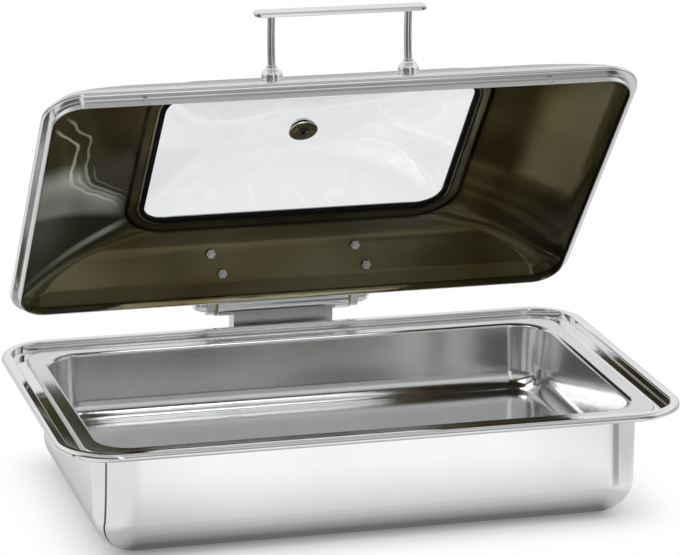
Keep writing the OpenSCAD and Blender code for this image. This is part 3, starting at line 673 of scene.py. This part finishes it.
# loose food pan
foodPan = {
    "flat": (221.0, 118.5, 7.8), "foot": (241.0, 138.5, 27.8), "floor": 44.4,
    "mouth": (249.0, 146.5, 35.8), "top": 106.4,
    "flange": (265.0, 162.5, 25.1), "edge": 103.1, "sheet": 1.0,
    "bends": [(0, 0), (17.0, 12), (4.0, 6), (1.4, 5), (0, 0)], "cornerSteps": 18,
}


def makeFoodPan():
    p = foodPan
    rings = [
        (*p["flat"], p["floor"], 0), (*p["foot"], p["floor"], 0), (*p["mouth"], p["top"], 0),
        (*p["flange"], p["top"], 0), (*p["flange"], p["edge"], 0),
    ]
    bm = drawShell(rings, p["bends"], p["cornerSteps"], cap=True)
    faceUp(bm)
    finishPiece("foodPan", bm, "pan", ["food_pan"], [panSteel], sheet=p["sheet"])


makeFoodPan()
print("food pan made")


# lid sheet: window flange, bowed flanks, bead and lip, drawn closed
# a ring is half length, half width, corner, height and middle
lidSheet = {
    "flange": (152.0, 103.0, 28.0, 165.0, 5.0), "top": (165.0, 116.0, 41.0, 165.0, 5.0),
    "creases": (0.72, 0.43, 0.14), "bow": (3.8, 2.6), "swell": 13.0, "cornerDraw": 22.0,
    "foot": (275.4, 170.4, 33.0, 115.6, 0.0),
    "bead": [(278.4, 173.4, 36.0, 115.6, 0.0), (278.4, 173.4, 36.0, 111.0, 0.0)],
    "lip": [(270.5, 165.5, 28.1, 111.0, 0.0), (270.5, 165.5, 28.1, 104.0, 0.0)],
    "bends": [(0, 0), (4.0, 5), (9.5, 6), (10.5, 6), (5.5, 5), (0.9, 3), (2.0, 6), (2.0, 6), (0.9, 3),
              (0, 0)],
    "sheet": 1.2, "cornerSteps": 18,
}


def flankRing(share):
    # the flank at a share of the way from the bead up to the window
    s = lidSheet
    foot, top = Vector(s["foot"]), Vector(s["top"])
    full = 4 * share * (1 - share)
    along = (share - s["creases"][0]) / (s["creases"][-1] - s["creases"][0])
    bow = s["bow"][0] + (s["bow"][1] - s["bow"][0]) * along
    return foot + (top - foot) * share + Vector((s["swell"] * full, 0, -s["cornerDraw"] * full, bow, 0))


def makeLid():
    s = lidSheet
    flanks = [flankRing(share) for share in s["creases"]]
    rings = [s["flange"], s["top"], *flanks, s["foot"], *s["bead"], *s["lip"]]
    bm = drawShell(rings, s["bends"], s["cornerSteps"])
    faceUp(bm)
    openLid(bm)
    finishPiece("lidSheet", bm, "lid", ["lid_shell"], [lidSteel, lidInnerSteel],
                sheet=s["sheet"], inside=1)


makeLid()
print("lid made")


# window: domed pane, rubber channel and trim; sections are (distance out from the clear glass, height)
window = {
    "half": (148.0, 99.0), "corner": 24.0, "middle": 5.0,
    "top": 194.0, "rise": 24.5, "thick": 3.0, "rings": 16, "bore": 2.75,
    "domeFlat": 18.0, "domeOut": 2.0, "domeSide": 0.05, "boreSide": 0.02,  # least straight side of a ring
    "paneOut": 11.0, "paneBend": (4.0, 5), "paneSteps": 16, "rimSteps": 14,
    "channel": [(0, 162.3), (0, 166.5), (12, 166.5), (12, 165), (3.85, 165), (3.85, 163.8), (4.8, 163.8),
                (4.8, 162.3)],
    "channelBends": [(0.6, 3), (0.6, 3), (0.4, 2), (0, 0), (0, 0), (0, 0), (0.5, 3), (0.6, 3)],
    "trim": [(12.4, 165), (13.6, 165), (13.6, 170.7), (3, 170.7), (3, 169.5), (12.4, 169.5)],
    "trimBends": [(0, 0), (0, 0), (1.0, 4), (0.5, 3), (0, 0), (0, 0)],
}


def windowRing(out, z):
    w = window
    return (w["half"][0] + out, w["half"][1] + out, w["corner"] + out, z, w["middle"])


def domeRing(share):
    # from a small circle in the middle to the window's own outline
    w = window
    halfX, halfY = (w["domeFlat"] + (half + w["domeOut"] - w["domeFlat"]) * share for half in w["half"])
    corner = halfY + (w["corner"] + w["domeOut"] - halfY) * share * share
    corner = min(corner, halfY - w["domeSide"])
    return (halfX, halfY, corner, w["top"] - w["rise"] * share * share, w["middle"])


def makeGlassPane():
    w = window
    rings = [(w["bore"], w["bore"], w["bore"] - w["boreSide"], w["top"], w["middle"])]
    rings += [domeRing(i / w["rings"]) for i in range(w["rings"] + 1)]
    rings.append(windowRing(w["paneOut"], w["top"] - w["rise"]))
    bends = [(0, 0)] * len(rings)
    bends[-2] = w["paneBend"]
    bm = drawShell(rings, bends, w["paneSteps"])
    lower = bmesh.ops.extrude_face_region(bm, geom=bm.faces[:])["geom"]
    moveVerts(bm, onlyVerts(lower), (0, 0, -w["thick"]))
    openLid(bm)
    finishPiece("glassPane", bm, "lid", ["glass_pane"], [domedGlass])


def makeWindowRims():
    w = window
    for name, node, slot, section, material in (
            ("rubberChannel", "glass_seal", "black_rubber", "channel", blackRubber),
            ("windowTrim", "window_frame", "polished_steel", "trim", polishedSteel)):
        rings = [windowRing(out, z) for out, z in w[section]]
        bm = drawShell(rings, w[section + "Bends"], w["rimSteps"], closed=True)
        openLid(bm)
        finishPiece(name, bm, "lid", [node], [material])


makeGlassPane()
makeWindowRims()
print("window made")


# vent button in the middle of the window; profiles are (radius, height)
vent = {
    "capLow": 195.0, "discLow": 187.5, "sides": 48,
    "cap": [(0, 7.0), (3.0, 6.68), (5.8, 5.72), (8.2, 4.25), (10.0, 2.65), (10.8, 1.7), (11.0, 1.2),
            (11.0, 0.3), (10.7, 0), (0, 0)],
    "disc": [(2.8, 0.5), (3.2, 0.2), (4.4, 0), (10.4, 0), (10.8, 0.35), (11.6, 0.35), (12.0, 0), (13.4, 0),
             (14.0, 0.6), (14.0, 1.5), (13.5, 2.0), (2.8, 2.0), (2.8, 0.5)],
}


def makeVent():
    for name, node, profile, low, material in (
            ("ventCap", "vent_cap", vent["cap"], vent["capLow"], polishedSteel),
            ("ventDisc", "vent_disc", vent["disc"], vent["discLow"], turnedSteel)):
        bm = bmesh.new()
        moveVerts(bm, spinPoints(bm, profile, vent["sides"]), (0, window["middle"], low))
        openLid(bm)
        finishPiece(name, bm, "lid", [node], [material])


makeVent()
print("vent made")


# handle: grip, two bent posts and the balls they stand on
handle = {
    "grip": (160.0, 15.5, 4.5), "gripEnd": (5.0, 10), "gripEdge": (1.3, 7),  # radius and segments
    "span": 128.0, "post": 3.5, "ball": 9.75, "ballUp": 2.1, "ballAlong": 23.0,
    "low": 30.0, "high": 28.3, "leanLow": 41.0, "leanHigh": 53.0, "bend": 150.0, "intoGrip": 1.0,
    "postSides": 32, "bendSteps": 10, "ballSides": (48, 32), "collarSides": 40,
    "stud": [(0, 0), (3.0, 0), (3.0, -10.6), (2.4, -11.2), (0, -11.2)],
    "collar": [(3.52, 7.0), (4.6, 7.0), (4.7, 9.6), (4.5, 10.2), (4.0, 10.45), (3.7, 10.45), (3.52, 10.2),
               (3.52, 7.0)],
}


def frontPoint(share):
    ring = flankRing(share)
    return Vector((ring[4] - ring[1], ring[3]))


def leanFrom(place, length, lean):
    # the end of a leg that leans towards the front, as (y, z)
    lean = math.radians(lean)
    return place + Vector((-math.sin(lean), math.cos(lean))) * length


frontLow = frontPoint(lidSheet["creases"][-1])
frontSlope = frontPoint(lidSheet["creases"][0]) - frontLow
frontTilt = math.degrees(math.atan2(frontSlope[1], frontSlope[0]))
ballPlace = leanFrom(frontLow + frontSlope.normalized() * handle["ballAlong"], handle["ballUp"], frontTilt)
bendPlace = leanFrom(ballPlace, handle["low"], handle["leanLow"])
gripPlace = leanFrom(bendPlace, handle["high"], handle["leanHigh"])


def edgeRise(edge):
    return abs(edge.verts[0].co.z - edge.verts[1].co.z)


def makeGrip():
    h = handle
    bm = bmesh.new()
    bmesh.ops.create_cube(bm, size=1.0)
    bmesh.ops.scale(bm, vec=Vector(h["grip"]) * mm, verts=bm.verts)
    bevelEdges(bm, [e for e in bm.edges if edgeRise(e) > mm], *h["gripEnd"])
    bevelEdges(bm, [e for e in bm.edges if edgeRise(e) < mergeReach], *h["gripEdge"])
    tiltVerts(bm, bm.verts, h["leanHigh"])
    moveVerts(bm, bm.verts, (0, *gripPlace))
    openLid(bm)
    finishPiece("handleGrip", bm, "lid", ["handle_bar"], [polishedSteel])


def makePost(side, name, node):
    # two straight legs with a slow bend between them, and a stud through the lid
    h = handle
    bm = bmesh.new()
    turn = math.radians(h["leanHigh"] - h["leanLow"])
    tangent = h["bend"] * math.tan(turn / 2)
    bmesh.ops.create_circle(bm, segments=h["postSides"], radius=h["post"] * mm)
    tip, end = extrudeLoop(bm, bm.edges[:])
    moveVerts(bm, tip, (0, 0, h["low"] - tangent))
    centre = Vector((0, -h["bend"], h["low"] - tangent)) * mm
    end = bmesh.ops.spin(bm, geom=end, cent=centre, axis=(1, 0, 0), angle=turn, steps=h["bendSteps"],
                         use_merge=False, use_duplicate=False)["geom_last"]
    tip, end = extrudeLoop(bm, onlyEdges(end))
    reach = h["high"] - tangent - h["grip"][2] / 2 + h["intoGrip"]
    moveVerts(bm, tip, (0, -math.sin(turn) * reach, math.cos(turn) * reach))
    bmesh.ops.holes_fill(bm, edges=bm.edges)
    tiltVerts(bm, bm.verts, h["leanLow"])
    tiltVerts(bm, spinPoints(bm, h["stud"], h["postSides"]), frontTilt)
    moveVerts(bm, bm.verts, (side * h["span"] / 2, *ballPlace))
    openLid(bm)
    finishPiece(name, bm, "lid", [node], [polishedSteel])


def makeBalls():
    # each ball is cut where it sits on the skin, and has a collar round its post
    h = handle
    bm = bmesh.new()
    normal = Matrix.Rotation(math.radians(frontTilt), 3, "X") @ Vector((0, 0, 1))
    around, upward = h["ballSides"]
    for side in (-1, 1):
        older = set(bm.verts)
        bmesh.ops.create_uvsphere(bm, u_segments=around, v_segments=upward, radius=h["ball"] * mm)
        ball = newVerts(bm, older)
        tiltVerts(bm, ball, frontTilt)
        edges = {e for v in ball for e in v.link_edges}
        faces = {f for v in ball for f in v.link_faces}
        cut = bmesh.ops.bisect_plane(bm, geom=[*ball, *edges, *faces], dist=finestReach, plane_no=normal,
                                     plane_co=normal * -h["ballUp"] * mm, clear_inner=True)["geom_cut"]
        bmesh.ops.contextual_create(bm, geom=onlyEdges(cut))
        tiltVerts(bm, spinPoints(bm, h["collar"], h["collarSides"]), h["leanLow"])
        moveVerts(bm, newVerts(bm, older), (side * h["span"] / 2, *ballPlace))
    openLid(bm)
    finishPiece("handleBalls", bm, "lid", ["handle_ferrules"], [polishedSteel])


makeGrip()
makePost(-1, "handlePostLeft", "handle_post_left")
makePost(1, "handlePostRight", "handle_post_right")
makeBalls()
print("handle made")


# soft buttons on the front lip
bumper = {
    "span": 376.0, "place": (-165.5, 107.0), "tilt": 90.0, "sides": 28,
    "profile": [(0, 1.2), (1.4, 1.15), (2.4, 0.85), (2.9, 0.4), (3.0, 0), (0, 0)],
}


def makeBumpers():
    bm = bmesh.new()
    for side in (-1, 1):
        button = spinPoints(bm, bumper["profile"], bumper["sides"])
        tiltVerts(bm, button, bumper["tilt"])
        moveVerts(bm, button, (side * bumper["span"] / 2, *bumper["place"]))
    openLid(bm)
    finishPiece("lidBumpers", bm, "lid", ["lid_bumpers"], [clearSilicone])


makeBumpers()
print("bumpers made")


# hinge: the solids with their edges broken
softEdges = {"merge": 2e-6, "flat": 1.0, "corner": 40.0, "segments": 2, "sharp": 32.0}  # angles in degrees
softened = [
    ("hinge_bracket", "hingeBracket", "base", satinSteel, 0.5),
    ("hinge_housing", "hingeTube", "base", polishedSteel, 0.6),
    ("hinge_arm_left", "hingeArmLeft", "lid", satinSteel, 0.5),
    ("hinge_arm_right", "hingeArmRight", "lid", satinSteel, 0.5),
    ("shaft_nuts", "shaftNuts", "lid", polishedSteel, 0.35),
]


def softenNode(node, name, body, material, edge):
    s = softEdges
    bm = bmesh.new()
    bm.from_mesh(cadNodes[node].data)
    bmesh.ops.remove_doubles(bm, verts=bm.verts, dist=s["merge"])
    bmesh.ops.dissolve_limit(bm, angle_limit=math.radians(s["flat"]), verts=bm.verts, edges=bm.edges)
    least = math.radians(s["corner"])
    corners = [e for e in bm.edges if len(e.link_faces) == 2 and e.calc_face_angle() > least]
    bevelEdges(bm, corners, edge, s["segments"])
    finishPiece(name, bm, body, [node], [material], sharp=s["sharp"])


for row in softened:
    softenNode(*row)

# solids whose shape is right, with a better finish
plainNodes = {
    "base_plate": groundPlate, "bracket_studs": boltSteel, "bracket_nuts": boltSteel,
    "hinge_bush_left": sinteredBronze, "hinge_bush_right": sinteredBronze, "damper_body": damperPlastic,
    "damper_rotor": damperPlastic, "hinge_shaft": satinSteel, "handle_washers": boltSteel,
    "handle_nuts": boltSteel, "arm_screws": boltSteel, "arm_nuts": boltSteel, "vent_screw": turnedSteel,
    "vent_seals": blackRubber,
}
for node, material in plainNodes.items():
    for slot in cadNodes[node].material_slots:
        slot.material = material
print("hinge and fasteners finished")


# studio: pale floor, white surround, one broad lamp overhead, and a painted room with painted shadow that
# only the metal mirrors
studio = {
    "floor": 0.93, "floorRough": 0.9, "floorSize": 14.0, "floorCells": 8, "white": (-0.06, 0.06),
    "ambient": 0.55, "key": 26.0, "keySize": (1.9, 1.4), "keyPlace": (-0.35, -0.55, 2.1),
    "keyTarget": (0, 0, 0.1),
    # painted shadow round the dish, then painted shade to the left and right; the metal alone sees them
    "paintedShadow": [(0.0, 0.13), (0.061, 0.15), (0.0836, 0.28), (0.131, 0.475), (0.179, 0.565), (0.275, 0.64),
              (0.322, 0.69), (0.37, 0.78), (0.418, 0.835), (0.465, 0.90), (0.515, 0.95), (0.60, 1.0)],
    "paintedShadowWidth": 0.44, "sideStretch": 2.6,
    "across": [(0.25, 0.78), (0.33, 0.89), (0.40, 1.0), (0.70, 1.0), (0.83, 0.78), (0.92, 0.62)],
    "acrossMiddle": 0.5,
    "far": (0.60, 1.0), "farFront": 0.15, "farBack": 0.40,
    "towards": (-0.26, -0.965, 0.0), "cone": (0.25, 0.65),
    # painted bright strips that stand in for strip lights, seen only in the metal
    "floorStrips": [(-87.0, 7.0, 0.95), (-75.0, 7.0, 0.95)],  # turn, half width, level
    "skyStrips": [(-87.0, 7.0, 0.95), (-75.0, 9.0, 0.33)],
    # a painted grey on the far side of the mirrored room: from, to, level
    "paintedBackGrey": (-0.5, -0.8, 0.72),
    # painted dark lines off the front corners, seen only in the metal
    "leftLine": {"corner": (-0.2155, -0.1165), "turn": -176.0, "half": (2.0, 4.0), "level": 0.08,
                 "fade": (-0.04, 0.0)},
    "rightLine": {"corner": (0.2155, -0.1165), "turn": -47.0, "half": (4.5, 14.0), "level": 0.50,
                  "fade": (0.06, 0.14)},
    "skyFront": [(0.0, 0.15), (0.40, 0.13), (0.65, 0.70), (0.88, 0.40), (1.0, 0.37)],
    "skyBack": [(0.0, 0.34), (0.10, 0.62), (0.28, 0.80), (0.6, 0.85), (0.88, 0.45), (1.0, 0.37)],
}
footprint = [size * mm for size in basin["wall"][:2]]
footCorner = basin["wall"][2] * mm


def mirrored(tree, path):
    # rays that the metal sends out, but not what is seen through the glass
    through = addMath(tree, "SUBTRACT", 1.0, path["Is Transmission Ray"])
    return addMath(tree, "MULTIPLY", path["Is Glossy Ray"], through)


def lookedAt(tree, path):
    return addMath(tree, "MAXIMUM", path["Is Camera Ray"], path["Is Transmission Ray"])


def roomLevel(tree, vector, x, y, back, front, strips):
    # painted reflection of a room: the side towards the camera is dark but for painted bright strips, and
    # the far side is raised to a painted grey
    unit = addVector(tree, "NORMALIZE", addVector(tree, "MULTIPLY", vector, (1.0, 1.0, 0.0)))
    facing = addVector(tree, "DOT_PRODUCT", unit, studio["towards"])
    start, end, level = studio["paintedBackGrey"]
    back = addMath(tree, "MAXIMUM", back, addFade(tree, facing, start, end, 0.0, level))
    turn = addMath(tree, "ARCTAN2", y, x)
    for angle, width, level in strips:
        off = offFrom(tree, turn, math.radians(angle))
        strip = addFade(tree, off, math.radians(width / 2), math.radians(width), level, 0.0)
        front = addMath(tree, "MAXIMUM", front, strip)
    return mixLevels(tree, addFade(tree, facing, *studio["cone"]), back, front)


def cornerLine(tree, x, y, distance, line):
    # a painted dark line on the floor off one corner, as an angle round that corner, seen in the metal as a
    # painted dark reflection
    cornerX, cornerY = line["corner"]
    turn = addMath(tree, "ARCTAN2", addMath(tree, "SUBTRACT", y, cornerY),
                   addMath(tree, "SUBTRACT", x, cornerX))
    off = offFrom(tree, turn, math.radians(line["turn"]))
    paintedLine = addFade(tree, off, *(math.radians(half) for half in line["half"]), line["level"], 1.0)
    return mixLevels(tree, addFade(tree, distance, *line["fade"]), 1.0, paintedLine)


def floorInMetal(tree, coords, distance):
    # what the metal sees of the floor: painted shadow close by, pale round the dish, painted shade to the
    # left and right, and a painted dark room far off in front
    s = studio
    x, y = splitAxes(tree, coords)[:2]
    near = outsideBox(tree, coords, footprint, footCorner, (s["sideStretch"], 1.0))
    near = addMath(tree, "DIVIDE", addMath(tree, "ADD", near, footCorner), s["paintedShadowWidth"])
    room = roomLevel(tree, coords, x, y, s["farBack"], s["farFront"], s["floorStrips"])
    level = mixLevels(tree, addFade(tree, distance, *s["far"]), 1.0, room)
    across = addRamp(tree, addMath(tree, "ADD", x, s["acrossMiddle"]), greys(s["across"]))
    lines = [cornerLine(tree, x, y, distance, s[line]) for line in ("leftLine", "rightLine")]
    level = multiplyAll(tree, level, across, *lines)
    paintedShadow = addRamp(tree, near, greys(s["paintedShadow"]))
    return addNode(tree, "ShaderNodeEmission", {"Color": paintedShadow, "Strength": level}).outputs["Emission"]


def makeFloor():
    bm = bmesh.new()
    cells = studio["floorCells"]
    bmesh.ops.create_grid(bm, x_segments=cells, y_segments=cells, size=studio["floorSize"])
    mesh = bpy.data.meshes.new("studioFloor")
    bm.to_mesh(mesh)
    bm.free()
    floor = bpy.data.objects.new("studioFloor", mesh)
    scene.collection.objects.link(floor)
    material, tree, shader = newMaterial("paleFloor")
    setInputs(tree, shader, {
        "Base Color": (*(studio["floor"],) * 3, 1.0),
        "Roughness": studio["floorRough"],
        "Specular IOR Level": 0.0,
    })
    coords = addNode(tree, "ShaderNodeTexCoord").outputs["Object"]
    path = addNode(tree, "ShaderNodeLightPath").outputs
    distance = outsideBox(tree, coords, footprint, footCorner)
    # seen directly, the floor is white a little way off and keeps the shadow close to the dish
    away = addMath(tree, "MULTIPLY", addFade(tree, distance, *studio["white"]), lookedAt(tree, path))
    white = addNode(tree, "ShaderNodeEmission").outputs["Emission"]
    direct = addNode(tree, "ShaderNodeMixShader", {0: away, 1: shader.outputs["BSDF"], 2: white})
    seen = addNode(tree, "ShaderNodeMixShader", {0: mirrored(tree, path), 1: direct.outputs["Shader"],
                                                 2: floorInMetal(tree, coords, distance)})
    plug(tree, tree.nodes["Material Output"].inputs["Surface"], seen.outputs["Shader"])
    mesh.materials.append(material)


def makeWorld():
    world = bpy.data.worlds.new("studioWorld")
    scene.world = world
    world.use_nodes = True
    tree = world.node_tree
    direction = addNode(tree, "ShaderNodeTexCoord").outputs["Generated"]
    path = addNode(tree, "ShaderNodeLightPath").outputs
    x, y, z = splitAxes(tree, direction)
    # the metal alone sees a painted room: grey levels by height, painted strips and a painted grey far side
    back, front = (addRamp(tree, z, greys(studio[sky])) for sky in ("skyBack", "skyFront"))
    room = roomLevel(tree, direction, x, y, back, front, studio["skyStrips"])
    plain = mixLevels(tree, lookedAt(tree, path), studio["ambient"], 1.0)
    setInputs(tree, tree.nodes["Background"], {
        "Color": (1.0, 1.0, 1.0, 1.0),
        "Strength": mixLevels(tree, mirrored(tree, path), plain, room),
    })


def addLamp(name, power, size, place, target):
    data = bpy.data.lights.new(name, "AREA")
    data.energy = power
    data.shape = "RECTANGLE"
    data.size, data.size_y = size
    lamp = bpy.data.objects.new(name, data)
    lamp.location = place
    lamp.visible_glossy = False  # the metal mirrors the surround only
    lamp.rotation_euler = (Vector(target) - Vector(place)).to_track_quat("-Z", "Y").to_euler()
    scene.collection.objects.link(lamp)


makeFloor()
makeWorld()
addLamp("overheadLamp", studio["key"], studio["keySize"], studio["keyPlace"], studio["keyTarget"])
scene.view_settings.view_transform = "Standard"
print("studio lit")
